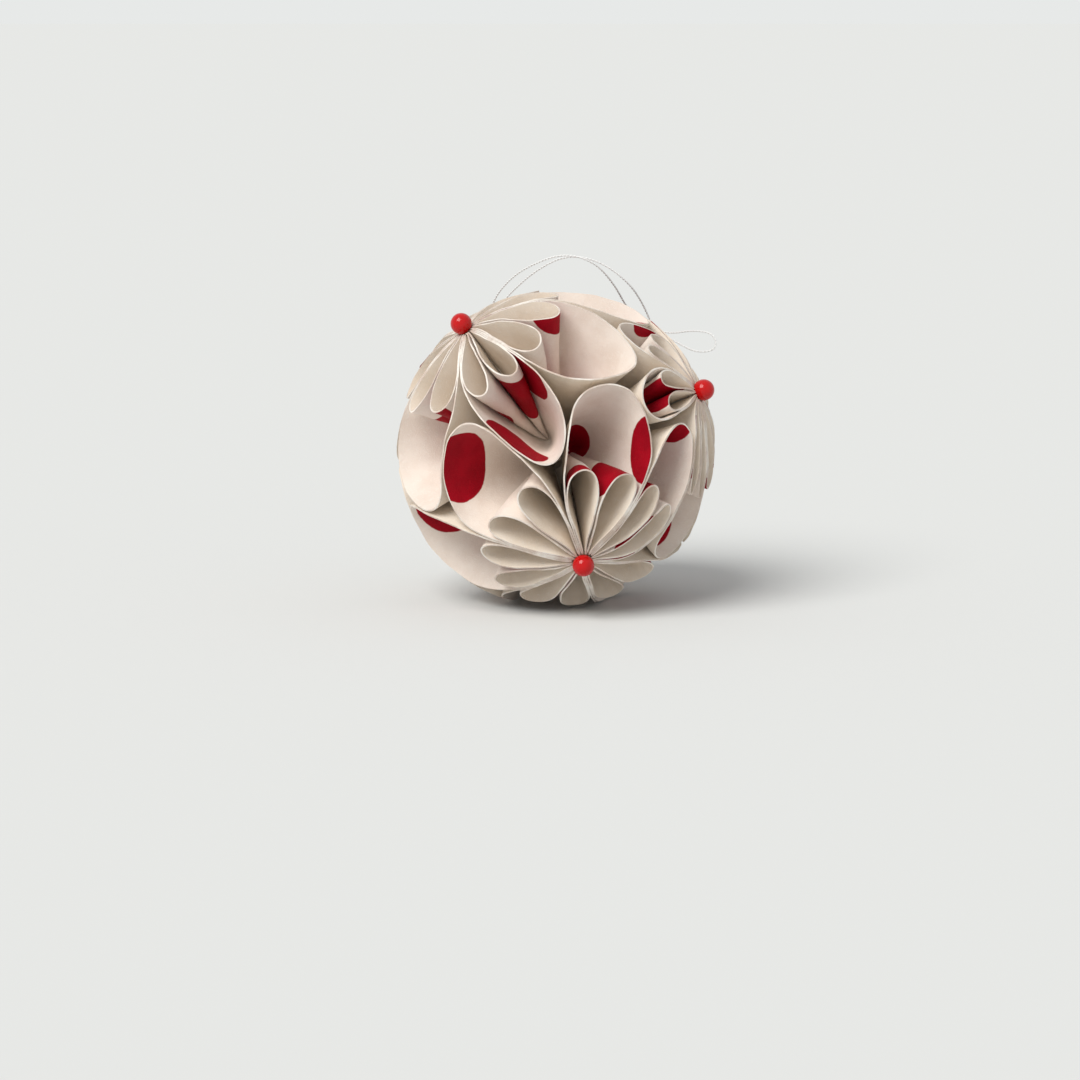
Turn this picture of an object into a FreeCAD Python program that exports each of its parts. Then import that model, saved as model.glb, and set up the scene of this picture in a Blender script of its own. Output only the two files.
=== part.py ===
# Kusudama paper ball: 24 round paper sheets, each folded into one big cup with two small
# loops in it, four ball-headed pins at the flower centres and a hanging thread.
import FreeCAD, Part
import Sketcher
import math
import os

Vector = FreeCAD.Vector

# Driving dimensions: alias, value in millimetres (or as said), meaning.
DIMENSIONS = [
    ("ball_diameter", 75.0, "over the cut edges of the paper"),
    ("paper_thickness", 0.36, "handmade printed paper"),
    ("paper_gap", 0.05, "between two layers that lie together"),
    ("cone_offset", 6.4, "ball centre to the centre of each folded sheet"),
    ("centre_trim", 1.8, "cut away at the centre of each folded sheet"),
    ("loop_length", 25.0, "small loop, along the ball's surface"),
    ("loop_width", 8.2, "small loop at its widest"),
    ("head_diameter", 5.0, "ball head of a pin"),
    ("shaft_diameter", 0.8, "steel shaft of a pin"),
    ("shaft_length", 27.0, "pin shaft, with its point"),
    ("shaft_point", 2.4, "length of the pin's point"),
    ("shaft_seat", 3.4, "depth of the shaft in the head"),
    ("seat_clearance", 0.02, "all round the shaft in the head, and under the head"),
    ("thread_diameter", 0.5, "twisted cotton hanging thread"),
]

# Flower centres on the ball: longitude from the front (to the right positive) and latitude.
FLOWERS = {
    "upper": (-63.3, 51.1),
    "front": (11.1, -35.7),
    "right": (71.8, 22.9),
    "back": (-161.0, -22.0),
}

# Six petals a flower, clockwise. Each cup follows a bent line over the ball, from its flower
# centre: azimuths (clockwise from up) of the line near the centre, midway and at its end,
# how far it reaches, how much the cup swells past an even share of the surface, and how
# round its corners are. All in degrees.
PETALS = {
    "upper": [
        (54, 61, 66, 62, 8, 12),
        (109, 108, 108, 65, 1, 10),
        (168, 169, 169, 53, 3, 10),
        (228, 236, 245, 60, 0, 8),
        (288, 300, 310, 56, 0, 10),
        (348, 10, 25, 60, 0, 8),
    ],
    "front": [
        (12, 12, 14, 64, 8, 12),
        (64, 61, 54, 60, 5, 10),
        (128, 130, 127, 54, 2, 10),
        (196, 191, 184, 65, 0, 8),
        (251, 250, 247, 60, 0, 10),
        (311, 309, 301, 54, 5, 10),
    ],
    "right": [
        (282, 282, 281, 36, 4, 8),
        (340, 335, 331, 32, 0, 8),
        (46, 43, 40, 54, 0, 10),
        (106, 90, 84, 60, 0, 8),
        (166, 165, 165, 54, 0, 10),
        (222, 204, 196, 54, 3, 8),
    ],
    "back": [
        (0, 0, 0, 54, 0, 10),
        (60, 40, 26, 60, 0, 8),
        (120, 112, 110, 54, 0, 10),
        (180, 165, 156, 60, 0, 8),
        (240, 234, 230, 54, 0, 10),
        (300, 280, 266, 60, 0, 8),
    ],
}

# Route of the hanging thread from the ball's centre, in millimetres: out of the gap between
# three cups behind the top, over the ball to the right, round the end of the loop, and back
# into the same gap.
THREAD_ROUTE = [
    (-13.8, 21.4, 20.8),
    (-16.5, 25.8, 24.9),
    (-15.8, 25.0, 32.5),
    (-11.0, 18.5, 39.0),
    (-5.0, 13.0, 43.0),
    (2.0, 10.0, 45.4),
    (9.0, 9.0, 43.5),
    (13.8, 12.5, 37.8),
    (17.2, 19.0, 31.0),
    (22.2, 21.0, 26.5),
    (27.2, 16.5, 25.6),
    (32.8, 11.6, 27.0),
    (37.6, 8.8, 26.4),
    (38.0, 7.4, 22.6),
    (33.4, 9.0, 21.8),
    (28.8, 13.4, 23.8),
    (23.0, 18.5, 27.2),
    (20.9, 16.4, 32.5),
    (17.2, 11.5, 38.4),
    (10.5, 12.0, 43.4),
    (2.6, 14.5, 44.8),
    (-4.6, 18.5, 41.0),
    (-10.5, 24.0, 35.5),
    (-14.6, 28.3, 30.5),
    (-14.2, 28.0, 24.2),
    (-12.0, 23.4, 20.2),
]

BASE_SHARE = 0.3         # of its reach at which a cup's line has its first bend
MIDDLE_SHARE = 0.65      # and its second
MIDDLE_LEAN = 0.35       # how far a cup's middle leans from there to the line's end
SWELL_REACH = 40.0       # degrees from the flower centre at which a cup's swell is full
LAYERS = 5               # thicknesses that lie side by side where a sheet's folds start
START_STEP = 0.1         # of a layer: step of the search for that place
RAYS = 80                # directions in which a cup's edge is looked for
HALVINGS = 16            # steps of that search
NEIGHBOURS = 9           # nearest petals that can bound a cup
FAR_REACH = 80.0         # degrees: no cup's edge is further from its middle
CORNER_SHARE = 0.45      # of the way to the flower centre that a corner's rounding can take
EDGE_STEPS = 56          # stations on a cup's edge while its corners are rounded
CUP_STEPS = 26           # flat strips in a folded sheet's cup
LOOP_STEPS = 14          # and in each small loop
BEND_WEIGHT = 0.2        # radius, as a share of the ball's, at which a bend gets double strips
BULGE_SHARE = 0.3        # of a neighbour's bulge between two strips that a station gives way
LOOP_SHARE = 0.72        # of a cup's reach that its loops can take up
LOOP_SIDES = (0.75, 0.25)  # of the way across the cup: middle lines of its right and left loop
ROOT_SHARE = 0.8         # a loop's root is that much of this nearer to the cup's middle
ROOT_REACH = 0.12        # of a loop's length that its root takes up
TEARDROP = (1.5, 0.5)    # powers that make a loop pointed at its root and blunt at its end
PLUMP = 0.3              # of its width from which a loop may be narrowed by its cup
ARC_SHARE = 0.45         # of the shorter run that an arc of the thread takes up
FLAT = 1e-7              # millimetres: corners this close to one plane make one flat face


def make_sheet(doc):
    """Spreadsheet with the driving dimensions; returns its values by name."""
    table = doc.addObject("Spreadsheet::Sheet", "Sizes")
    for row, (alias, value, meaning) in enumerate(DIMENSIONS, start=1):
        table.set(f"A{row}", alias)
        table.set(f"B{row}", str(value))
        table.set(f"C{row}", meaning)
        table.setAlias(f"B{row}", alias)
    doc.recompute()
    return {alias: float(table.get(alias)) for alias, _, _ in DIMENSIONS}


def unit(v):
    return v * (1.0 / v.Length)


def degrees_between(a, b):
    return math.degrees(math.acos(max(-1.0, min(1.0, a.dot(b)))))


def on_ball(longitude, latitude):
    """Unit vector to a place on the ball; the front is -Y and +X is to the right."""
    lon, lat = math.radians(longitude), math.radians(latitude)
    return Vector(math.sin(lon) * math.cos(lat), -math.cos(lon) * math.cos(lat), math.sin(lat))


def compass(place):
    """Unit vectors up and to the right along the surface, seen from outside."""
    up = unit(Vector(0, 0, 1) - place * place.z)
    return up, up.cross(place)


def travel(place, azimuth, reach):
    """Unit vector reach degrees away from place, at an azimuth clockwise from up."""
    up, right = compass(place)
    turn, far = math.radians(azimuth), math.radians(reach)
    way = up * math.cos(turn) + right * math.sin(turn)
    return place * math.cos(far) + way * math.sin(far)


class Petal:
    """One folded sheet's place on the ball: the bent line that its cup follows."""

    def __init__(self, name, flower, base, middle, tip, reach, swell, rounding):
        self.name, self.flower = name, flower
        self.swell, self.rounding = swell, rounding
        knots = [flower, travel(flower, base, reach * BASE_SHARE),
                 travel(flower, middle, reach * MIDDLE_SHARE), travel(flower, tip, reach)]
        self.spans = [(a, b, unit(a.cross(b))) for a, b in zip(knots, knots[1:])]
        self.middle = unit(knots[2] + knots[3] * MIDDLE_LEAN)

    def away(self, place):
        """Degrees from place to the petal's line, less what the petal swells by."""
        best = 180.0
        for a, b, pole in self.spans:
            if pole.cross(a).dot(place) >= 0 and b.cross(pole).dot(place) >= 0:
                gap = math.degrees(math.asin(min(1.0, abs(pole.dot(place)))))
            else:
                gap = math.degrees(math.acos(min(1.0, max(place.dot(a), place.dot(b)))))
            best = min(best, gap)
        return best - self.swell * min(1.0, degrees_between(self.flower, place) / SWELL_REACH)


def find_edge(petal, petals):
    """Unit vectors round the petal's share of the ball, from its flower centre and back."""
    middle = petal.middle
    others = [other for other in petals if other is not petal]
    others.sort(key=lambda other: other.away(middle))
    others = others[:NEIGHBOURS]
    up, right = compass(middle)
    home = petal.flower - middle * petal.flower.dot(middle)
    start = math.atan2(home.dot(right), home.dot(up))
    edge = [petal.flower]
    for ray in range(1, RAYS):
        turn = start + 2 * math.pi * ray / RAYS
        way = up * math.cos(turn) + right * math.sin(turn)
        near, far = 0.0, math.radians(FAR_REACH)
        for _ in range(HALVINGS):
            reach = (near + far) / 2
            place = middle * math.cos(reach) + way * math.sin(reach)
            own = petal.away(place)
            if all(other.away(place) > own for other in others):
                near = reach
            else:
                far = reach
        edge.append(middle * math.cos(near) + way * math.sin(near))
    edge.append(petal.flower)
    return edge


def steps_along(line, count, bend_weight):
    """The same line over the ball with count steps, shorter where the line bends."""
    steps = [after - before for before, after in zip(line, line[1:])]
    bends = [0.0] + [a.getAngle(b) for a, b in zip(steps, steps[1:])] + [0.0]
    marks = [0.0]
    for step, bend, next_bend in zip(steps, bends, bends[1:]):
        marks.append(marks[-1] + step.Length + bend_weight * (bend + next_bend) / 2)
    places, piece = [], 0
    for step in range(count + 1):
        mark = marks[-1] * step / count
        while piece < len(line) - 2 and marks[piece + 1] < mark:
            piece += 1
        share = (mark - marks[piece]) / (marks[piece + 1] - marks[piece])
        places.append(unit(line[piece] * (1 - share) + line[piece + 1] * share))
    return places


def round_corners(line, rounding):
    """Each point becomes the mean of its stretch of the line, shorter near the flower."""
    last = len(line) - 1
    step = degrees_between(line[1], line[2])
    soft = [line[0]]
    for place in range(1, last):
        stretch = min(rounding, CORNER_SHARE * degrees_between(line[0], line[place])) / step
        whole = min(int(stretch), place - 1, last - 1 - place)
        total = line[place] * 1.0
        for offset in range(1, whole + 1):
            total = total + line[place - offset] + line[place + offset]
        part = stretch - int(stretch)
        total = total + (line[place - whole - 1] + line[place + whole + 1]) * part
        soft.append(unit(total))
    soft.append(line[-1])
    return soft


def inset(line, distance):
    """The line moved sideways to its right, into the petal, by a small angle."""
    moved = []
    for place in range(1, len(line) - 1):
        way = unit(line[place + 1] - line[place - 1])
        moved.append(unit(line[place] + way.cross(line[place]) * distance))
    return moved


def clear_of_neighbour(line):
    """Stations where the neighbour bulges in, moved in so that the flat strips miss it."""
    moved = line[:1]
    for before, place, after in zip(line, line[1:], line[2:]):
        inward = unit(after - before).cross(place)
        bulge = max(0.0, (place - (before + after) * 0.5).dot(inward))
        moved.append(unit(place + inward * (bulge * BULGE_SHARE)))
    return moved + line[-1:]


def at_reach(wall, flower, reach):
    """The point of a wall that starts at the flower, where it is reach radians from it."""
    limit = math.cos(reach)
    for a, b in zip(wall, wall[1:]):
        if a.dot(flower) >= limit > b.dot(flower):
            share = (a.dot(flower) - limit) / (a.dot(flower) - b.dot(flower))
            return unit(a * (1 - share) + b * share)
    return wall[-1]


def slanted(rim, apex, layer, size):
    """Lines of the folded paper from its rim towards the sheet's centre.

    Between two stations of the rim the paper is a flat strip. All strips lie at the same
    distance, layer, from the apex, so that the layers of a fold stay side by side down to the
    centre. Each line is given by four points: rim and centre end of the printed side, then of
    the plain side.
    """
    half = size["paper_thickness"] / 2
    radius = size["ball_diameter"] / 2
    normals = []
    for place, following in zip(rim, rim[1:]):
        way = unit(following - place)
        across = place - apex - way * (place - apex).dot(way)
        tilt = layer / across.Length
        normals.append(unit(across) * tilt + way.cross(unit(across)) * math.sqrt(1 - tilt * tilt))
    lines = []
    for place, before, after in zip(rim, normals[:1] + normals, normals + normals[-1:]):
        lean = (before + after) * (2 / (before + after).dot(before + after))
        slope = unit(place - apex - lean * layer)
        ends = []
        for side in (layer + half, layer - half):
            foot = apex + lean * side
            along = foot.dot(slope)
            top = math.sqrt(along ** 2 - foot.dot(foot) + radius ** 2) - along
            ends += [foot + slope * top, foot + slope * size["centre_trim"]]
        lines.append(ends)
    return lines


def fold_line(before, after, inward):
    """The line between two stretches of paper at a sharp fold, printed side in."""
    line = []
    for corner, (a, b) in enumerate(zip(before, after)):
        bulge = 0 if corner < 2 else (b - a).Length / 2
        line.append((a + b) * 0.5 + inward * bulge)
    return line


def flat_faces(a, b, c, d):
    """One flat face with four corners, or two where they aren't in one plane."""
    normal = unit((b - a).cross(c - a))
    if abs(normal.dot(d - a)) < FLAT:
        return [Part.Face(Part.makePolygon([a, b, c, d, a]))]
    return [Part.Face(Part.makePolygon([a, b, c, a])), Part.Face(Part.makePolygon([a, c, d, a]))]


def paper_solid(lines):
    """Solid of a closed strip of paper with two sides, a rim and a centre end."""
    faces = []
    for here, there in zip(lines, lines[1:] + lines[:1]):
        for one, other in ((0, 1), (2, 3), (0, 2), (1, 3)):
            faces += flat_faces(here[one], there[one], there[other], here[other])
    shell = Part.makeShell(faces)
    shell.sewShape()
    solid = Part.makeSolid(shell)
    if solid.Volume < 0:
        solid.reverse()
    return solid


def plumpness(share):
    """Half width of a loop at a share of its length, in parts of its widest."""
    pointed, blunt = TEARDROP
    widest = pointed / (pointed + blunt)
    fullest = widest ** pointed * (1 - widest) ** blunt
    return share ** pointed * (1 - share) ** blunt / fullest


def loop_rim(walls, flower, start, reach, side_share, size):
    """Mid-line of a small loop's rim: a teardrop between the cup's two walls."""
    radius = size["ball_diameter"] / 2
    pitch = size["paper_thickness"] + size["paper_gap"]
    length = min(size["loop_length"] / radius, LOOP_SHARE * reach) - start
    half = size["loop_width"] / 2
    stations = []
    for step in range(EDGE_STEPS + 1):
        turn = 2 * math.pi * step / EDGE_STEPS
        share = (1 - math.cos(turn)) / 2
        left, right = (at_reach(wall, flower, start + share * length) for wall in walls)
        root = ROOT_SHARE + (1 - ROOT_SHARE) * min(1.0, share / ROOT_REACH)
        middle = 0.5 + (side_share - 0.5) * root
        stations.append((turn, plumpness(share), left, right, middle))
        if plumpness(share) > PLUMP:
            room = (right - left).Length * radius / 4 - pitch
            half = min(half, room / plumpness(share))
    rim = []
    for turn, plump, left, right, middle in stations:
        side = math.copysign(half * plump, math.sin(turn)) + pitch / 2 * math.cos(turn / 2)
        place = left * (1 - middle) + right * middle
        rim.append(unit(place + unit(right - left) * (side / radius)))
    return [place * radius for place in steps_along(rim, LOOP_STEPS, BEND_WEIGHT)]


def folds_start(walls, flower, pitch):
    """How far from the flower centre, in radians, a cup is wide enough for its layers."""
    start = pitch
    while (at_reach(walls[1], flower, start) - at_reach(walls[0], flower, start)).Length < LAYERS * pitch:
        start += START_STEP * pitch
    return start


def fold_sheet(petal, petals, size):
    """Lines of one folded sheet about the ball's centre, and how far out its folds start."""
    radius = size["ball_diameter"] / 2
    pitch = size["paper_thickness"] + size["paper_gap"]
    edge = steps_along(find_edge(petal, petals), EDGE_STEPS, 0)
    edge = round_corners(round_corners(edge, petal.rounding), petal.rounding)
    edge = inset(edge, pitch / 2 / radius)
    far = max(range(len(edge)), key=lambda place: degrees_between(edge[place], petal.flower))
    walls = [[petal.flower] + edge[:far + 1], [petal.flower] + edge[far:][::-1]]

    start = folds_start(walls, petal.flower, pitch / radius)
    left, right = (at_reach(wall, petal.flower, start) for wall in walls)
    clear = start + LAYERS / 2 * pitch / radius
    inside = [place for place in edge if math.acos(place.dot(petal.flower)) > clear]
    cup = clear_of_neighbour(steps_along([left] + inside + [right], CUP_STEPS, BEND_WEIGHT))
    cup = [place * radius for place in cup]

    apex = unit(sum(cup, Vector())) * size["cone_offset"]
    side = unit(right - left)
    reach = math.acos(edge[far].dot(petal.flower))
    right_loop, left_loop = (loop_rim(walls, petal.flower, start, reach, share, size) for share in LOOP_SIDES)
    stretches = [slanted(cup, apex, -LAYERS / 2 * pitch, size),
                 slanted(right_loop, apex + side * pitch, pitch / 2, size),
                 slanted(left_loop, apex - side * pitch, pitch / 2, size)]

    crease = unit((left + right) * radius / 2 - apex)
    inward = unit(petal.flower - left - right)
    inward = unit(inward - side * inward.dot(side))
    inward = unit(inward - crease * inward.dot(crease))
    lines = []
    for stretch, following in zip(stretches, stretches[1:] + stretches[:1]):
        lines += stretch + [fold_line(stretch[-1], following[0], inward)]
    return lines, start * radius


def add_paper(doc, name, solid, placement):
    """A folded sheet as an object of the document."""
    node = doc.addObject("Part::Feature", name)
    node.Shape = solid
    node.Placement = placement
    return node


def add_pin_head(doc, name, placement):
    """Glossy ball head, bored from below for its shaft."""
    ball = doc.addObject("Part::Sphere", f"{name}_ball")
    ball.setExpression("Radius", "Sizes.head_diameter / 2")
    bore = doc.addObject("Part::Cylinder", f"{name}_bore")
    bore.setExpression("Radius", "Sizes.shaft_diameter / 2 + Sizes.seat_clearance")
    bore.setExpression("Height", "Sizes.head_diameter / 2 + Sizes.shaft_seat")
    bore.setExpression("Placement.Base.z", "-Sizes.head_diameter")
    head = doc.addObject("Part::Cut", name)
    head.Base = ball
    head.Tool = bore
    head.Placement = placement
    return head


def add_pin_shaft(doc, name, placement, size):
    """Pointed steel shaft, turned about its own axis; its top is at the local origin."""
    body = doc.addObject("PartDesign::Body", name)
    profile = body.newObject("Sketcher::SketchObject", f"{name}_profile")
    plane = next(item for item in body.Origin.OriginFeatures if item.Role == "XZ_Plane")
    profile.AttachmentSupport = [(plane, "")]
    profile.MapMode = "FlatFace"
    half, straight = size["shaft_diameter"] / 2, size["shaft_length"] - size["shaft_point"]
    corners = [Vector(0, 0, 0), Vector(half, 0, 0), Vector(half, -straight, 0),
               Vector(0, -size["shaft_length"], 0)]
    for one, other in zip(corners, corners[1:] + corners[:1]):
        profile.addGeometry(Part.LineSegment(one, other), False)
    for line in range(4):
        profile.addConstraint(Sketcher.Constraint("Coincident", line, 2, (line + 1) % 4, 1))
    profile.addConstraint(Sketcher.Constraint("Coincident", 0, 1, -1, 1))
    profile.addConstraint(Sketcher.Constraint("Horizontal", 0))
    profile.addConstraint(Sketcher.Constraint("Vertical", 1))
    profile.addConstraint(Sketcher.Constraint("Vertical", 3))
    sizes = [(Sketcher.Constraint("DistanceX", 0, 1, 0, 2, half), "Sizes.shaft_diameter / 2"),
             (Sketcher.Constraint("DistanceY", 1, 2, 1, 1, straight),
              "Sizes.shaft_length - Sizes.shaft_point"),
             (Sketcher.Constraint("DistanceY", 3, 1, 3, 2, size["shaft_length"]), "Sizes.shaft_length")]
    for constraint, expression in sizes:
        place = profile.addConstraint(constraint)
        profile.setExpression(f"Constraints[{place}]", expression)
    turned = body.newObject("PartDesign::Revolution", f"{name}_turned")
    turned.Profile = profile
    turned.ReferenceAxis = (profile, ["V_Axis"])
    turned.Angle = 360
    body.Tip = turned
    body.Placement = placement
    return body


def head_height(ring, size):
    """Height of a pin's head over the ball's centre, where it rests on the ring of folds."""
    radius, head = size["ball_diameter"] / 2, size["head_diameter"] / 2
    return math.sqrt(radius ** 2 - ring ** 2) + math.sqrt(head ** 2 - ring ** 2) + size["seat_clearance"]


def thread_wire(route):
    """Straight runs joined by arcs as large as their two runs allow."""
    edges, radii, here = [], [], route[0]
    for before, corner, after in zip(route, route[1:], route[2:]):
        back, ahead = unit(before - corner), unit(after - corner)
        half_turn = (math.pi - math.acos(max(-1.0, min(1.0, back.dot(ahead))))) / 2
        cut = ARC_SHARE * min((before - corner).Length, (after - corner).Length)
        radius = cut / math.tan(half_turn)
        inward = unit(back + ahead)
        top = corner + inward * (radius / math.cos(half_turn) - radius)
        first, last = corner + back * cut, corner + ahead * cut
        edges += [Part.LineSegment(here, first).toShape(), Part.Arc(first, top, last).toShape()]
        radii.append(radius)
        here = last
    edges.append(Part.LineSegment(here, route[-1]).toShape())
    return Part.Wire(edges), radii


def add_thread(doc, name, ball_centre, size):
    """The hanging thread as a tube along its route."""
    route = [Vector(*point) for point in THREAD_ROUTE]
    wire, radii = thread_wire(route)
    section = Part.Circle(route[0], unit(route[1] - route[0]), size["thread_diameter"] / 2)
    tube = wire.makePipeShell([Part.Wire(section.toShape())], True, False)
    node = doc.addObject("Part::Feature", name)
    node.Shape = tube
    node.Placement = FreeCAD.Placement(ball_centre, FreeCAD.Rotation())
    area = math.pi * size["thread_diameter"] ** 2 / 4
    print("thread length", round(wire.Length, 1), "volume", round(tube.Volume, 2),
          "section times length", round(area * wire.Length, 2))
    print("thread radii", [round(radius, 1) for radius in radii])
    return node


def write_parts(doc, nodes, paper):
    """Check every object and shape, then write one STEP file a node."""
    for item in doc.Objects:
        if "Invalid" in item.State or "Error" in item.State:
            raise RuntimeError(f"{item.Name} failed: {item.State}")
    for node in nodes:
        if node.Shape.isNull() or not node.Shape.isValid() or node.Shape.Volume <= 0:
            raise RuntimeError(f"{node.Name} has no valid solid")
    os.makedirs("parts", exist_ok=True)
    for node in nodes:
        node.Label = node.Name
        node.Shape.exportStep(f"parts/{node.Name}.step")
    print("nodes", len(nodes), "paper volume", round(sum(node.Shape.Volume for node in paper)))


doc = FreeCAD.newDocument("PaperBall")
size = make_sheet(doc)
centres = {name: on_ball(*place) for name, place in FLOWERS.items()}
petals = [Petal(f"{flower}_petal_{number}", centres[flower], *line)
          for flower, lines in PETALS.items()
          for number, line in enumerate(lines, start=1)]
folded = [fold_sheet(petal, petals, size) for petal in petals]
rims = [line[side] for lines, _ in folded for line in lines for side in (0, 2)]
low = min(place.z for place in rims)
middle_x = (min(place.x for place in rims) + max(place.x for place in rims)) / 2
middle_y = (min(place.y for place in rims) + max(place.y for place in rims)) / 2
ball_centre = Vector(-middle_x, -middle_y, -low)
print("ball centre", [round(value, 3) for value in ball_centre])

paper = []
for petal, (lines, start) in zip(petals, folded):
    placement = FreeCAD.Placement(ball_centre, FreeCAD.Rotation())
    paper.append(add_paper(doc, petal.name, paper_solid(lines), placement))
    print(petal.name, "volume", round(paper[-1].Shape.Volume, 1), "folds start at", round(start, 2))
pins = []
for flower, centre in centres.items():
    starts = [start for petal, (_, start) in zip(petals, folded) if petal.flower is centre]
    height = head_height(min(starts) - size["paper_thickness"] - size["paper_gap"], size)
    top = height - size["head_diameter"] / 2 + size["shaft_seat"] - size["seat_clearance"]
    turn = FreeCAD.Rotation(Vector(0, 0, 1), centre)
    pins.append(add_pin_head(doc, f"{flower}_pin_head",
                             FreeCAD.Placement(ball_centre + centre * height, turn)))
    pins.append(add_pin_shaft(doc, f"{flower}_pin_shaft",
                              FreeCAD.Placement(ball_centre + centre * top, turn), size))
thread = add_thread(doc, "hanging_thread", ball_centre, size)
doc.recompute()
write_parts(doc, paper + pins + [thread], paper)
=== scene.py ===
# %% [markdown]
# # A folded paper ball
# The real object is a hanging ornament, about 75 mm across, made of 24 round sheets of
# printed handmade paper. Each sheet is folded into one wide cup with two small loops in it.
# Six sheets meet at each of four pins with a red ball head, and a thin white thread hangs
# the ball up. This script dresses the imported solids: it rounds the folded paper, prints and
# roughens it, twists the thread, and sets up a plain pale studio.

# %% Load the frame
import math
import bmesh
import bpy
import numpy as np
from mathutils import Matrix, Vector


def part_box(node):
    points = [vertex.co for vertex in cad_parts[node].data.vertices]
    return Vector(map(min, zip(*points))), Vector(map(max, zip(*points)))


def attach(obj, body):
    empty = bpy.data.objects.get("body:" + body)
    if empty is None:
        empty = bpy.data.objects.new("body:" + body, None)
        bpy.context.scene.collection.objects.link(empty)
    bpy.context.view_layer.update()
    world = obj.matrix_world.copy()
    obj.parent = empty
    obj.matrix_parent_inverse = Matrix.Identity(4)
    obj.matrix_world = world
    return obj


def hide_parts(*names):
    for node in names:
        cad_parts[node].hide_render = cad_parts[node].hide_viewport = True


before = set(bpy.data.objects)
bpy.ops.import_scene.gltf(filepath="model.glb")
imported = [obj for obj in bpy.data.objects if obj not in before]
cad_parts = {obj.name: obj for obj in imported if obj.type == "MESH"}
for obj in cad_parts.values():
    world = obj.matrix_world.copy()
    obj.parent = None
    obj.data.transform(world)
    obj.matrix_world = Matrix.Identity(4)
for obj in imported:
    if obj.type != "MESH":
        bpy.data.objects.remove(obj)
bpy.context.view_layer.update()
bpy.ops.object.select_all(action="DESELECT")
print("nodes loaded:", len(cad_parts))

# %% [markdown]
# ## Sizes
# Few sizes are typed in here. The ball's centre and radius come from the frame: the folded
# sheets alone touch the ball's surface on all sides, so the middle of their box would be
# the centre but for the bottom, where the ball rests on the rim of an open cup.

# %% Sizes
MM = 0.001
SHEETS = sorted(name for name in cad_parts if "_petal_" in name)
FLOWERS = ("upper", "front", "right", "back")
sheet_low = Vector([min(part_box(name)[0][axis] for name in SHEETS) for axis in range(3)])
sheet_high = Vector([max(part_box(name)[1][axis] for name in SHEETS) for axis in range(3)])
BALL_RADIUS = 37.5 * MM
BALL_CENTRE = Vector((sheet_low.x + sheet_high.x, sheet_low.y + sheet_high.y, 0)) / 2
CENTRE_HEIGHT = 36.336 * MM
BALL_CENTRE.z = CENTRE_HEIGHT
print("ball centre", [round(value / MM, 2) for value in BALL_CENTRE])

# %% [markdown]
# ## The camera
# The camera comes first. The photograph was taken from far away with a long lens, a little
# above the ball. The shift puts the ball at its place in the picture, above and right of the
# middle, without turning the camera.

# %% Camera
PICTURE = 1080
FOCAL_PIXELS = 3425
BALL_PIXEL = (556.5, 448.5)
CAMERA_DISTANCE = 808.5 * MM
CAMERA_RISE = 0.13


def add_camera():
    """Camera at the photograph's viewing angle."""
    data = bpy.data.cameras.new("camera")
    data.sensor_width = 36
    data.lens = FOCAL_PIXELS / PICTURE * data.sensor_width
    data.shift_x = (PICTURE / 2 - BALL_PIXEL[0]) / PICTURE
    data.shift_y = (BALL_PIXEL[1] - PICTURE / 2) / PICTURE
    data.clip_start, data.clip_end = 0.05, 20
    camera = bpy.data.objects.new("camera", data)
    bpy.context.scene.collection.objects.link(camera)
    back = Vector((0, -math.sqrt(1 - CAMERA_RISE ** 2), CAMERA_RISE))
    camera.location = BALL_CENTRE + back * CAMERA_DISTANCE
    camera.rotation_mode = "QUATERNION"
    camera.rotation_quaternion = (-back).to_track_quat("-Z", "Y")
    bpy.context.scene.camera = camera
    return camera


camera = add_camera()
print("camera at", [round(value, 3) for value in camera.location])

# %% [markdown]
# ## Node groups
# Handmade paper is cloudy, has fibres in it and a fine grain. The printed side, the plain
# side and the cut edges all need that, so it is one group with its own strengths in each
# material. The print is a common pattern of round dots, drawn on the flat sheet: the group
# reads the sheet's own UV map, in which one unit is one repeat of the pattern.

# %% Helpers for node groups
def new_group(name, inputs, outputs):
    """Empty shader group with named number or vector sockets; returns it and its two ends."""
    group = bpy.data.node_groups.new(name, "ShaderNodeTree")
    for label, kind, value in inputs:
        group.interface.new_socket(label, in_out="INPUT", socket_type=kind).default_value = value
    for label, kind in outputs:
        group.interface.new_socket(label, in_out="OUTPUT", socket_type=kind)
    return group, group.nodes.new("NodeGroupInput"), group.nodes.new("NodeGroupOutput")


def math_node(tree, operation, first, second=None, third=None):
    """Math node; each value is a number or a socket. Returns its output."""
    node = tree.nodes.new("ShaderNodeMath")
    node.operation = operation
    for place, value in enumerate((first, second, third)):
        if isinstance(value, bpy.types.NodeSocket):
            tree.links.new(value, node.inputs[place])
        elif value is not None:
            node.inputs[place].default_value = value
    return node.outputs[0]


def noise_node(tree, where, scale, detail=2.0, distortion=0.0, roughness=0.5):
    """Noise texture at a number of features a metre; returns the node."""
    node = tree.nodes.new("ShaderNodeTexNoise")
    node.inputs["Detail"].default_value = detail
    node.inputs["Distortion"].default_value = distortion
    node.inputs["Roughness"].default_value = roughness
    node.inputs["Scale"].default_value = scale
    tree.links.new(where, node.inputs["Vector"])
    return node


def smooth_step(tree, value, low, high):
    """0 below low, 1 above high and smooth between; low may be above high."""
    node = tree.nodes.new("ShaderNodeMapRange")
    node.interpolation_type = "SMOOTHSTEP"
    tree.links.new(value, node.inputs["Value"])
    for label, limit in (("From Min", low), ("From Max", high)):
        if isinstance(limit, bpy.types.NodeSocket):
            tree.links.new(limit, node.inputs[label])
        else:
            node.inputs[label].default_value = limit
    return node.outputs["Result"]


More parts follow.
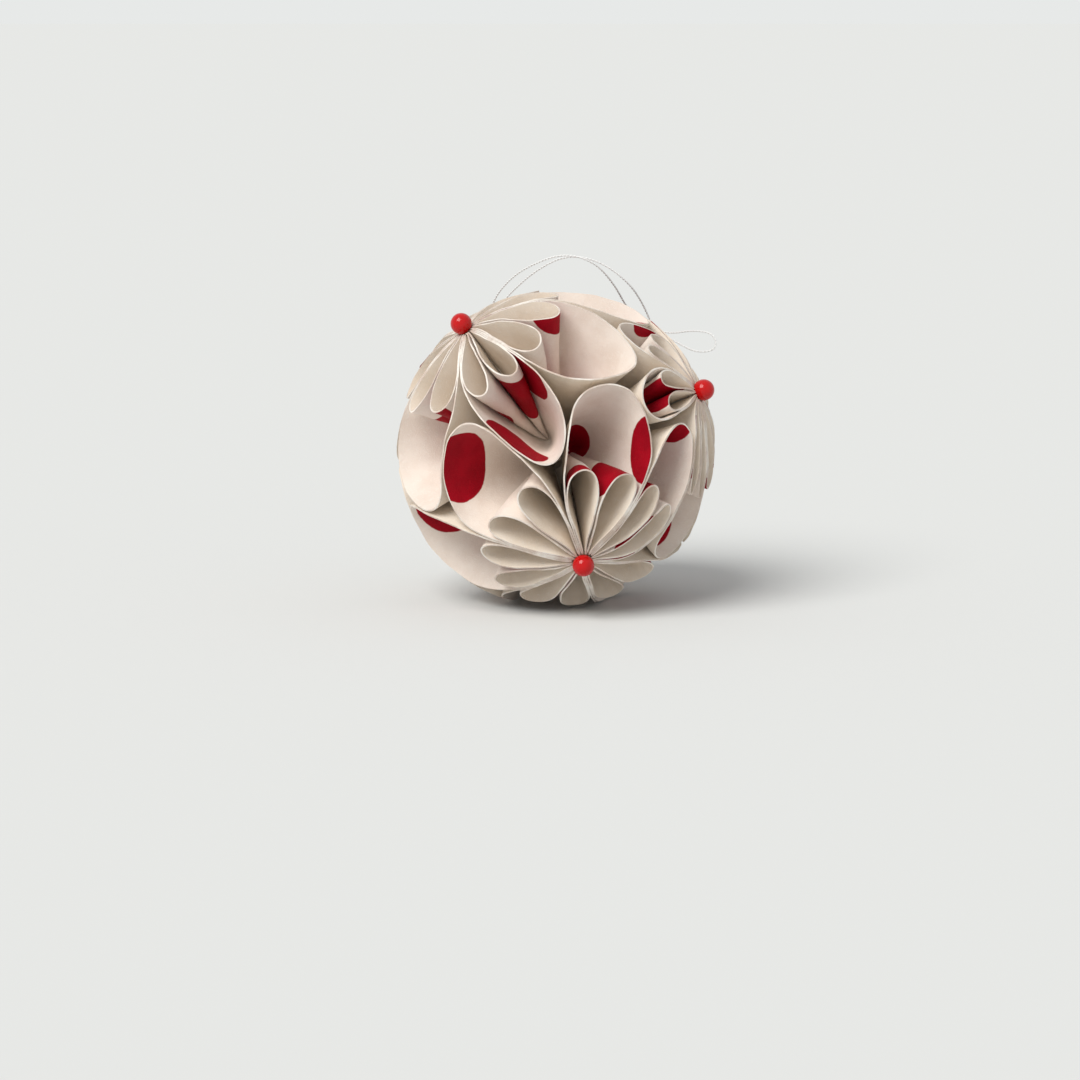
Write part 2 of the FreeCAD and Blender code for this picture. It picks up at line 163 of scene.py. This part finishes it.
# %% Handmade paper group
def make_paper_group():
    """Clouds, fibres and grain of handmade paper; outputs a tone and a height, 0 to 1."""
    group, _, ends = new_group("Handmade paper", [], [("Tone", "NodeSocketFloat"),
                                                      ("Fibres", "NodeSocketFloat"),
                                                      ("Height", "NodeSocketFloat")])
    where = group.nodes.new("ShaderNodeTexCoord").outputs["Object"]
    clouds = noise_node(group, where, 130, detail=4, roughness=0.6).outputs["Fac"]
    strands = noise_node(group, where, 420, detail=2, distortion=1.6).outputs["Fac"]
    off_centre = math_node(group, "ABSOLUTE", math_node(group, "SUBTRACT", strands, 0.5))
    fibres = smooth_step(group, off_centre, 0.03, 0.004)
    grain = noise_node(group, where, 2600, detail=3, roughness=0.65).outputs["Fac"]
    height = math_node(group, "MULTIPLY_ADD", grain, 0.55, math_node(group, "MULTIPLY", fibres, 0.25))
    height = math_node(group, "MULTIPLY_ADD", clouds, 0.4, height)
    group.links.new(clouds, ends.inputs["Tone"])
    group.links.new(fibres, ends.inputs["Fibres"])
    group.links.new(height, ends.inputs["Height"])
    return group


paper_group = make_paper_group()
print("group:", paper_group.name)


# %% Polka dot group
def make_dots_group():
    """Round dots with slightly ragged edges on the flat sheet; outputs the ink, 0 or 1."""
    group, start, ends = new_group("Polka dots", [("Dot radius", "NodeSocketFloat", 0.266),
                                                  ("Raggedness", "NodeSocketFloat", 0.02)],
                                   [("Ink", "NodeSocketFloat")])
    flat = group.nodes.new("ShaderNodeUVMap")
    flat.uv_map = "print"
    rough = noise_node(group, flat.outputs["UV"], 9, detail=4, roughness=0.6)
    repeat = group.nodes.new("ShaderNodeVectorMath")
    repeat.operation = "FRACTION"
    group.links.new(flat.outputs["UV"], repeat.inputs[0])
    centred = group.nodes.new("ShaderNodeVectorMath")
    centred.operation = "SUBTRACT"
    centred.inputs[1].default_value = (0.5, 0.5, 0)
    group.links.new(repeat.outputs[0], centred.inputs[0])
    length = group.nodes.new("ShaderNodeVectorMath")
    length.operation = "LENGTH"
    group.links.new(centred.outputs[0], length.inputs[0])
    wobble = math_node(group, "MULTIPLY", math_node(group, "SUBTRACT", rough.outputs["Fac"], 0.5),
                       start.outputs["Raggedness"])
    edge = math_node(group, "ADD", length.outputs["Value"], wobble)
    inner = math_node(group, "SUBTRACT", start.outputs["Dot radius"], 0.004)
    outer = math_node(group, "ADD", start.outputs["Dot radius"], 0.004)
    group.links.new(smooth_step(group, edge, outer, inner), ends.inputs["Ink"])
    return group


dots_group = make_dots_group()
print("group:", dots_group.name)

# %% [markdown]
# ## Finishes
# Colours are written as the paper's and ink's own, not as the photograph's lit pixels.

# %% Material helpers
def new_material(name):
    """Node material with a plain Principled BSDF; returns the material, tree and shader."""
    material = bpy.data.materials.new(name)
    material.use_nodes = True
    tree = material.node_tree
    return material, tree, tree.nodes["Principled BSDF"]


def mix_colour(tree, amount, first, second):
    """Mix of two colours, each a tuple or a socket, by a mask; returns the output."""
    node = tree.nodes.new("ShaderNodeMix")
    node.data_type = "RGBA"
    tree.links.new(amount, node.inputs[0])
    for socket, value in ((node.inputs[6], first), (node.inputs[7], second)):
        if isinstance(value, bpy.types.NodeSocket):
            tree.links.new(value, socket)
        else:
            socket.default_value = (*value, 1)
    return node.outputs[2]


def add_bump(tree, shader, height, strength, distance):
    """Bump node that feeds the shader's normal."""
    bump = tree.nodes.new("ShaderNodeBump")
    bump.inputs["Strength"].default_value = strength
    bump.inputs["Distance"].default_value = distance
    tree.links.new(height, bump.inputs["Height"])
    tree.links.new(bump.outputs[0], shader.inputs["Normal"])


def place_group(tree, group):
    """The group as a node of a material; returns the node."""
    node = tree.nodes.new("ShaderNodeGroup")
    node.node_tree = group
    return node


# %% Paper finishes
GROUND, GROUND_DIM = (0.87, 0.785, 0.705), (0.81, 0.71, 0.625)
CREAM, CREAM_DIM = (0.88, 0.785, 0.68), (0.82, 0.715, 0.60)
CRIMSON, CRIMSON_DIM = (0.37, 0.0015, 0.012), (0.29, 0.001, 0.009)
FIBRE = (0.90, 0.84, 0.78)
EDGE, EDGE_DIM = (0.88, 0.83, 0.76), (0.62, 0.50, 0.42)


def paper_material(name, light, dim, printed, bump):
    """Handmade paper in one colour, with or without the printed dots."""
    material, tree, shader = new_material(name)
    paper = place_group(tree, paper_group)
    tone = smooth_step(tree, paper.outputs["Tone"], 0.35, 0.65)
    colour = mix_colour(tree, tone, dim, light)
    faint = math_node(tree, "MULTIPLY", paper.outputs["Fibres"], 0.35)
    colour = mix_colour(tree, faint, colour, FIBRE)
    shader.inputs["Roughness"].default_value = 0.85
    shader.inputs["Specular IOR Level"].default_value = 0.12
    if printed:
        dots = place_group(tree, dots_group)
        ink = mix_colour(tree, tone, CRIMSON_DIM, CRIMSON)
        colour = mix_colour(tree, dots.outputs["Ink"], colour, ink)
        rough = math_node(tree, "MULTIPLY_ADD", dots.outputs["Ink"], -0.25, 0.85)
        tree.links.new(rough, shader.inputs["Roughness"])
    tree.links.new(colour, shader.inputs["Base Color"])
    add_bump(tree, shader, paper.outputs["Height"], bump, 0.0002)
    return material


printed_side = paper_material("printed_paper", GROUND, GROUND_DIM, True, 0.5)
plain_side = paper_material("plain_paper", CREAM, CREAM_DIM, False, 0.5)
cut_edge = paper_material("cut_paper_edge", EDGE, EDGE_DIM, False, 1.0)
print("paper finishes:", printed_side.name, plain_side.name, cut_edge.name)

# %% [markdown]
# ## Folded sheets
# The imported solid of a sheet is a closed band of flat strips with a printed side, a plain
# side, a rim and a centre end. The real paper is curved. Smoothing the triangles as they
# are would pinch them, so the band is read back as a tidy cage of quads, strip by strip,
# and a subdivision surface rounds that cage. The cage keeps the CAD's own places.

# %% Reading a sheet's band
REPEAT = 32 * MM
CENTRE_TRIM = 1.8 * MM
RIM_SHARE = 0.9          # of the ball's radius, outside which a point is on a rim
MERGE = 1e-7             # metres: corners this close are one corner


def closed_chains(edges):
    """Vertices of each closed chain of edges, in order."""
    beside = {}
    for edge in edges:
        a, b = edge.verts
        beside.setdefault(a, []).append(b)
        beside.setdefault(b, []).append(a)
    chains = []
    while beside:
        first = next(iter(beside))
        chain, here = [first], beside[first][0]
        while here is not first:
            chain.append(here)
            a, b = beside[here]
            here = b if a is chain[-2] else a
        for vert in chain:
            del beside[vert]
        chains.append(np.array([vert.co[:] for vert in chain]))
    return chains


def best_match(chain, cost):
    """The chain started and turned round so that cost is least."""
    options = [np.roll(way, -start, axis=0) for way in (chain, chain[::-1]) for start in range(len(chain))]
    return min(options, key=cost)


def bentness(rim):
    """Cost of a chain of centre ends: how far its strips with that rim are from flat."""
    along = np.roll(rim, -1, axis=0) - rim

    def cost(ends):
        down = ends - rim
        beyond = np.roll(ends, -1, axis=0) - rim
        return np.abs(np.einsum("ij,ij->i", np.cross(along, down), beyond)).sum()

    return cost


def read_band(node):
    """Rim and centre end of a sheet's printed side, then of its plain side, in strip order."""
    mesh = bmesh.new()
    mesh.from_mesh(node.data)
    bmesh.ops.remove_doubles(mesh, verts=mesh.verts, dist=MERGE)
    far_out = RIM_SHARE * BALL_RADIUS
    at_rim = {vert: (vert.co - BALL_CENTRE).length > far_out for vert in mesh.verts}
    sides = {face: any(at_rim[vert] for vert in face.verts) and not all(at_rim[vert] for vert in face.verts)
             for face in mesh.faces}
    border = [edge for edge in mesh.edges if len({sides[face] for face in edge.link_faces}) == 2]
    rims = closed_chains([edge for edge in border if at_rim[edge.verts[0]]])
    ends = closed_chains([edge for edge in border if not at_rim[edge.verts[0]]])
    mesh.free()
    shortest = [np.linalg.norm(np.roll(rim, -1, axis=0) - rim, axis=1).min() for rim in rims]
    rims = [rims[place] for place in np.argsort(shortest)]
    steps = np.linalg.norm(np.roll(rims[0], -1, axis=0) - rims[0], axis=1)
    folds = sorted(np.argsort(steps + np.roll(steps, 1))[:3])
    count = len(rims[0])
    spans = [(after - before) % count for before, after in zip(folds, folds[1:] + folds[:1])]
    printed = np.roll(rims[0], -folds[int(np.argmax(spans))], axis=0)
    plain = best_match(rims[1], lambda way: np.linalg.norm(way - printed, axis=1).sum())
    band = []
    for rim in (printed, plain):
        pair = [best_match(end, bentness(rim)) for end in ends]
        band += [rim, min(pair, key=bentness(rim))]
    return band


band = read_band(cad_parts["front_petal_1"])
print("strips in one sheet:", len(band[0]), "rim of cup starts at", (band[0][0] / MM).round(1))

# %% Laying a sheet flat
def flat_places(printed_rim, printed_end):
    """Angle of each line of the folded sheet on the flat disc, and the distance of its rim."""
    lines = printed_rim - printed_end
    lengths = np.linalg.norm(lines, axis=1)
    ways = lines / lengths[:, None]
    turns = np.arccos(np.clip((ways * np.roll(ways, -1, axis=0)).sum(axis=1), -1, 1))
    angles = np.concatenate([[0], np.cumsum(turns)]) * (2 * math.pi / turns.sum())
    return angles[:-1], lengths + CENTRE_TRIM


def print_places(printed_rim, printed_end, shift, turn):
    """Print coordinates of each line's rim and centre end, in repeats of the dot pattern."""
    angles, reaches = flat_places(printed_rim, printed_end)
    around = np.stack([np.cos(angles + turn), np.sin(angles + turn)], axis=1)
    return [(around * reach + shift) / REPEAT for reach in (reaches[:, None], CENTRE_TRIM)]


# %% The cage of one sheet
ROWS = 3
PRINTED, PLAIN, CUT = range(3)


def ring_rows(rim, end):
    """Chains of points from the rim to the centre end."""
    return [rim + (end - rim) * (row / ROWS) for row in range(ROWS + 1)]


def sheet_middle(rim, end):
    """Where the lines of one side of a sheet run together."""
    down = end - rim
    return (end + down / np.linalg.norm(down, axis=1)[:, None] * CENTRE_TRIM).mean(axis=0)


def sheet_cage(name, shift=(0, 0), turn=0):
    """Mesh of quads for one sheet, closed at its middle, with its print coordinates.

    The edges between a side and the cut rim are creased, so that the rim stays sharp.
    """
    printed_rim, printed_end, plain_rim, plain_end = read_band(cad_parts[name])
    rows = ring_rows(printed_rim, printed_end) + ring_rows(plain_rim, plain_end)[::-1]
    rim_flat, end_flat = print_places(printed_rim, printed_end, np.array(shift) * MM, math.radians(turn))
    flats = ring_rows(rim_flat, end_flat)
    flats = flats + flats[::-1]
    kinds = [PRINTED] * ROWS + [None] + [PLAIN] * ROWS + [CUT]
    mesh = bmesh.new()
    uv = mesh.loops.layers.uv.new("print")
    crease = mesh.edges.layers.float.new("crease_edge")
    verts = [[mesh.verts.new(place) for place in row] for row in rows]
    count = len(printed_rim)
    for row, kind in enumerate(kinds):
        if kind is None:
            continue
        below = (row + 1) % len(rows)
        for place in range(count):
            after = (place + 1) % count
            corners = ((row, place), (row, after), (below, after), (below, place))
            face = mesh.faces.new([verts[r][p] for r, p in corners])
            face.material_index, face.smooth = kind, True
            for loop, (r, p) in zip(face.loops, corners):
                loop[uv].uv = flats[r][p]
    middle_flat = np.array(shift) * MM / REPEAT
    for row, rim, end, kind in ((ROWS, printed_rim, printed_end, PRINTED),
                                (ROWS + 1, plain_rim, plain_end, PLAIN)):
        middle = mesh.verts.new(sheet_middle(rim, end))
        for place in range(count):
            after = (place + 1) % count
            face = mesh.faces.new((verts[row][place], verts[row][after], middle))
            face.material_index, face.smooth = kind, True
            for loop, flat in zip(face.loops, (flats[row][place], flats[row][after], middle_flat)):
                loop[uv].uv = flat
    for edge in mesh.edges:
        if CUT in {face.material_index for face in edge.link_faces} and \
                len({face.material_index for face in edge.link_faces}) == 2:
            edge[crease] = 1
    bmesh.ops.recalc_face_normals(mesh, faces=mesh.faces)
    data = bpy.data.meshes.new(f"{name}_paper")
    mesh.to_mesh(data)
    mesh.free()
    return data


# %% Rounding and crumpling
def crumple_texture(name, size):
    """Colour clouds, which push each point its own way."""
    texture = bpy.data.textures.new(name, "CLOUDS")
    texture.cloud_type = "COLOR"
    texture.noise_scale = size
    texture.noise_depth = 1
    return texture


WARP, WARP_DEPTH = crumple_texture("hand_folding", 14 * MM), 0.9 * MM
COCKLE, COCKLE_DEPTH = crumple_texture("damp_paper", 4 * MM), 0.25 * MM
SHARP_ANGLE = math.radians(45)


def apply_all(piece):
    """Apply the piece's modifiers, in order."""
    bpy.ops.object.select_all(action="DESELECT")
    piece.select_set(True)
    bpy.context.view_layer.objects.active = piece
    for modifier in list(piece.modifiers):
        bpy.ops.object.modifier_apply(modifier=modifier.name)


def add_push(piece, texture, strength):
    """Displace modifier that moves the two sides of the paper together."""
    push = piece.modifiers.new(texture.name, "DISPLACE")
    push.texture = texture
    push.texture_coords = "LOCAL"
    push.direction = "RGB_TO_XYZ"
    push.mid_level = 0.5
    push.strength = strength


def fold_paper(name, shift, turn):
    """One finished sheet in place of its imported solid."""
    piece = bpy.data.objects.new(f"{name}_paper", sheet_cage(name, shift, turn))
    bpy.context.scene.collection.objects.link(piece)
    for material in (printed_side, plain_side, cut_edge):
        piece.data.materials.append(material)
    rounding = piece.modifiers.new("rounding", "SUBSURF")
    rounding.levels = rounding.render_levels = 2
    add_push(piece, WARP, WARP_DEPTH)
    add_push(piece, COCKLE, COCKLE_DEPTH)
    apply_all(piece)
    bpy.ops.object.shade_smooth_by_angle(angle=SHARP_ANGLE)
    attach(piece, "root")
    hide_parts(name)
    return piece


# %% All sheets
PRINT_PLACES = {
    "front_petal_1": ((16, 10), 45),
    "front_petal_2": ((18, 20), 25),
    "front_petal_5": ((3, 4), 45),
    "front_petal_6": ((0, 26), 50),
    "right_petal_1": ((0, 8), 10),
    "right_petal_2": ((21, 15), 80),
    "right_petal_6": ((14, 28), 5),
    "upper_petal_1": ((22, 6), 5),
    "upper_petal_2": ((0, 27), 15),
    "upper_petal_3": ((21, 0), 25),
    "upper_petal_6": ((3, 2), 35),
}


def print_place(number, name):
    """Shift in millimetres and turn in degrees of a sheet's print; unseen sheets get any."""
    anywhere = ((7 * number % 32, 11 * number % 32), 25 * number % 90)
    return PRINT_PLACES.get(name, anywhere)


sheets = [fold_paper(name, *print_place(number, name)) for number, name in enumerate(SHEETS)]
print("sheets:", len(sheets), "faces:", sum(len(piece.data.polygons) for piece in sheets))

# %% [markdown]
# ## Pins
# The ball heads are glossy red glass or plastic, and their steel shafts hardly show. Both
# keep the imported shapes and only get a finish.

# %% Pins
def make_head_material():
    """Glossy red bead with slight mottling."""
    material, tree, shader = new_material("red_bead")
    where = tree.nodes.new("ShaderNodeTexCoord").outputs["Object"]
    mottle = noise_node(tree, where, 500, detail=2).outputs["Fac"]
    colour = mix_colour(tree, mottle, (0.44, 0.001, 0.002), (0.58, 0.003, 0.004))
    tree.links.new(colour, shader.inputs["Base Color"])
    shader.inputs["Roughness"].default_value = 0.1
    shader.inputs["Specular IOR Level"].default_value = 0.25
    shader.inputs["Coat Weight"].default_value = 0.15
    shader.inputs["Coat Roughness"].default_value = 0.06
    add_bump(tree, shader, mottle, 0.15, 0.0002)
    return material


def make_steel_material():
    """Drawn steel with fine scratches."""
    material, tree, shader = new_material("pin_steel")
    where = tree.nodes.new("ShaderNodeTexCoord").outputs["Object"]
    scratches = noise_node(tree, where, 3000, detail=3).outputs["Fac"]
    shader.inputs["Metallic"].default_value = 1
    shader.inputs["Base Color"].default_value = (0.62, 0.61, 0.6, 1)
    tree.links.new(math_node(tree, "MULTIPLY_ADD", scratches, 0.2, 0.2), shader.inputs["Roughness"])
    return material


head_material, steel_material = make_head_material(), make_steel_material()
for flower in FLOWERS:
    for part, material in (("head", head_material), ("shaft", steel_material)):
        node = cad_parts[f"{flower}_pin_{part}"]
        node.data.materials.clear()
        node.data.materials.append(material)
print("pins:", len(FLOWERS))

# %% [markdown]
# ## Hanging thread
# The thread is two thin plies twisted together. Its line is one smooth spline over the
# route's points, out of a gap behind the ball's top and back into it. The plies are tubes
# wound round that line.

# %% Thread route
THREAD_ROUTE = [
    (-13.8, 21.4, 20.8),
    (-16.5, 25.8, 24.9),
    (-15.8, 25.0, 32.5),
    (-11.0, 18.5, 39.0),
    (-5.0, 13.0, 43.0),
    (2.0, 10.0, 45.4),
    (9.0, 9.0, 43.5),
    (13.8, 12.5, 37.8),
    (17.2, 19.0, 31.0),
    (22.2, 21.0, 26.5),
    (27.2, 16.5, 25.6),
    (32.8, 11.6, 27.0),
    (37.6, 8.8, 26.4),
    (38.0, 7.4, 22.6),
    (33.4, 9.0, 21.8),
    (28.8, 13.4, 23.8),
    (23.0, 18.5, 27.2),
    (20.9, 16.4, 32.5),
    (17.2, 11.5, 38.4),
    (10.5, 12.0, 43.4),
    (2.6, 14.5, 44.8),
    (-4.6, 18.5, 41.0),
    (-10.5, 24.0, 35.5),
    (-14.6, 28.3, 30.5),
    (-14.2, 28.0, 24.2),
    (-12.0, 23.4, 20.2),
]


def route_curve(name, route):
    """One open spline with the route's points as its control points."""
    data = bpy.data.curves.new(name, "CURVE")
    data.dimensions = "3D"
    data.resolution_u = 12
    spline = data.splines.new("NURBS")
    spline.points.add(len(route) - 1)
    for point, place in zip(spline.points, route):
        point.co = (*(BALL_CENTRE + Vector(place) * MM), 1)
    spline.order_u = 3
    spline.use_endpoint_u = True
    curve = bpy.data.objects.new(name, data)
    bpy.context.scene.collection.objects.link(curve)
    return curve


def curve_points(curve):
    """Points along a curve that has no thickness."""
    mesh = bpy.data.meshes.new_from_object(curve)
    points = [vert.co.copy() for vert in mesh.vertices]
    bpy.data.meshes.remove(mesh)
    return points


thread_line = route_curve("thread_line", THREAD_ROUTE)
thread_path = curve_points(thread_line)

# %% Thread plies
PLIES, PLY_SIDES, TWIST_LENGTH = 2, 6, 1.7 * MM
PLY_RADIUS, PLY_OFFSET = 0.14 * MM, 0.11 * MM
STEP = 0.2 * MM


def even_path(points, step):
    """The same path with even steps, as an array."""
    points = np.array(points)
    marks = np.concatenate([[0], np.cumsum(np.linalg.norm(np.diff(points, axis=0), axis=1))])
    places = np.linspace(0, marks[-1], int(marks[-1] / step) + 1)
    return np.stack([np.interp(places, marks, points[:, axis]) for axis in range(3)], axis=1), places


def frames_along(path):
    """Two unit vectors across the path at each point, carried along without twisting."""
    ways = np.gradient(path, axis=0)
    ways /= np.linalg.norm(ways, axis=1)[:, None]
    side = Vector(ways[0]).orthogonal().normalized()
    sides, others = [], []
    for way in ways:
        way = Vector(way)
        side = (side - way * side.dot(way)).normalized()
        sides.append(side[:])
        others.append(way.cross(side)[:])
    return np.array(sides), np.array(others)


def wind_ply(mesh, path, places, sides, others, start):
    """Tube round a helix about the path."""
    turn = (start + places / TWIST_LENGTH * 2 * math.pi)[:, None]
    centre = path + (sides * np.cos(turn) + others * np.sin(turn)) * PLY_OFFSET
    rings = []
    for corner in range(PLY_SIDES):
        angle = 2 * math.pi * corner / PLY_SIDES
        rings.append(centre + (sides * math.cos(angle) + others * math.sin(angle)) * PLY_RADIUS)
    verts = [[mesh.verts.new(place) for place in ring] for ring in np.array(rings).transpose(1, 0, 2)]
    for before, after in zip(verts, verts[1:]):
        for corner in range(PLY_SIDES):
            following = (corner + 1) % PLY_SIDES
            face = mesh.faces.new((before[corner], before[following], after[following], after[corner]))
            face.smooth = True
    mesh.faces.new(verts[0][::-1])
    mesh.faces.new(verts[-1])


def make_thread_material():
    """White cotton with a soft sheen."""
    material, tree, shader = new_material("white_cotton")
    where = tree.nodes.new("ShaderNodeTexCoord").outputs["Object"]
    fuzz = noise_node(tree, where, 4000, detail=3).outputs["Fac"]
    colour = mix_colour(tree, fuzz, (0.74, 0.75, 0.75), (0.90, 0.90, 0.89))
    tree.links.new(colour, shader.inputs["Base Color"])
    shader.inputs["Roughness"].default_value = 0.8
    shader.inputs["Sheen Weight"].default_value = 0.3
    add_bump(tree, shader, fuzz, 0.4, 0.0001)
    return material


def twist_thread():
    """The finished thread in place of its packed tube."""
    path, places = even_path(thread_path, STEP)
    sides, others = frames_along(path)
    mesh = bmesh.new()
    for ply in range(PLIES):
        wind_ply(mesh, path, places, sides, others, ply * 2 * math.pi / PLIES)
    bmesh.ops.recalc_face_normals(mesh, faces=mesh.faces)
    data = bpy.data.meshes.new("twisted_thread")
    mesh.to_mesh(data)
    mesh.free()
    data.materials.append(make_thread_material())
    thread = bpy.data.objects.new("twisted_thread", data)
    bpy.context.scene.collection.objects.link(thread)
    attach(thread, "root")
    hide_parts("hanging_thread")
    return thread


thread = twist_thread()
bpy.data.objects.remove(thread_line)
print("thread faces:", len(thread.data.polygons))

# %% [markdown]
# ## Studio
# A pale floor and a pale surround. The light is one wide sun, high on the left in front, so
# that the floor is evenly lit to its far edge, and soft light from all round. The camera
# sees the surround in the colour that the lit floor has, so no horizon shows.

# %% Floor and backdrop
BACKGROUND = (0.800, 0.815, 0.807)
FLOOR_SIZE = 60
SUN_STRENGTH, SURROUND_STRENGTH = 2.55, 0.46
SUN_FROM = Vector((-0.42, -0.55, 0.72)).normalized()
SUN_WIDTH, SUN_COLOUR = math.radians(38), (1, 0.985, 0.96)
FLOOR_LIGHT = SUN_STRENGTH * SUN_FROM.z / math.pi + SURROUND_STRENGTH


def stage_material():
    """Pale surface that takes shadows and looks like the background where it is fully lit."""
    material, tree, shader = new_material("pale_floor")
    shader.inputs["Base Color"].default_value = (*(part / FLOOR_LIGHT for part in BACKGROUND), 1)
    shader.inputs["Roughness"].default_value = 1
    shader.inputs["Specular IOR Level"].default_value = 0
    return material


bpy.ops.mesh.primitive_plane_add(size=FLOOR_SIZE, location=(0, 0, 0))
floor = bpy.context.active_object
floor.name = "floor"
floor.data.materials.append(stage_material())
print("stage:", floor.name, "light on it", round(FLOOR_LIGHT, 3))


# %% Light
def add_sun():
    """Wide soft sun."""
    data = bpy.data.lights.new("sun", "SUN")
    data.energy, data.angle, data.color = SUN_STRENGTH, SUN_WIDTH, SUN_COLOUR
    lamp = bpy.data.objects.new("sun", data)
    lamp.rotation_mode = "QUATERNION"
    lamp.rotation_quaternion = (-SUN_FROM).to_track_quat("-Z", "Y")
    bpy.context.scene.collection.objects.link(lamp)


add_sun()


def set_world():
    """Even pale surroundings; the camera and glossy surfaces see the background colour."""
    world = bpy.data.worlds.new("studio")
    world.use_nodes = True
    tree = world.node_tree
    light = tree.nodes["Background"]
    light.inputs["Color"].default_value = (1, 1, 1, 1)
    light.inputs["Strength"].default_value = SURROUND_STRENGTH
    seen = tree.nodes.new("ShaderNodeBackground")
    seen.inputs["Color"].default_value = (*BACKGROUND, 1)
    rays = tree.nodes.new("ShaderNodeLightPath")
    pick = math_node(tree, "MAXIMUM", rays.outputs["Is Camera Ray"], rays.outputs["Is Glossy Ray"])
    mix = tree.nodes.new("ShaderNodeMixShader")
    tree.links.new(pick, mix.inputs["Fac"])
    tree.links.new(light.outputs[0], mix.inputs[1])
    tree.links.new(seen.outputs[0], mix.inputs[2])
    tree.links.new(mix.outputs[0], tree.nodes["World Output"].inputs["Surface"])
    bpy.context.scene.world = world


set_world()
bpy.context.scene.view_settings.view_transform = "Standard"
print("sun and world set")
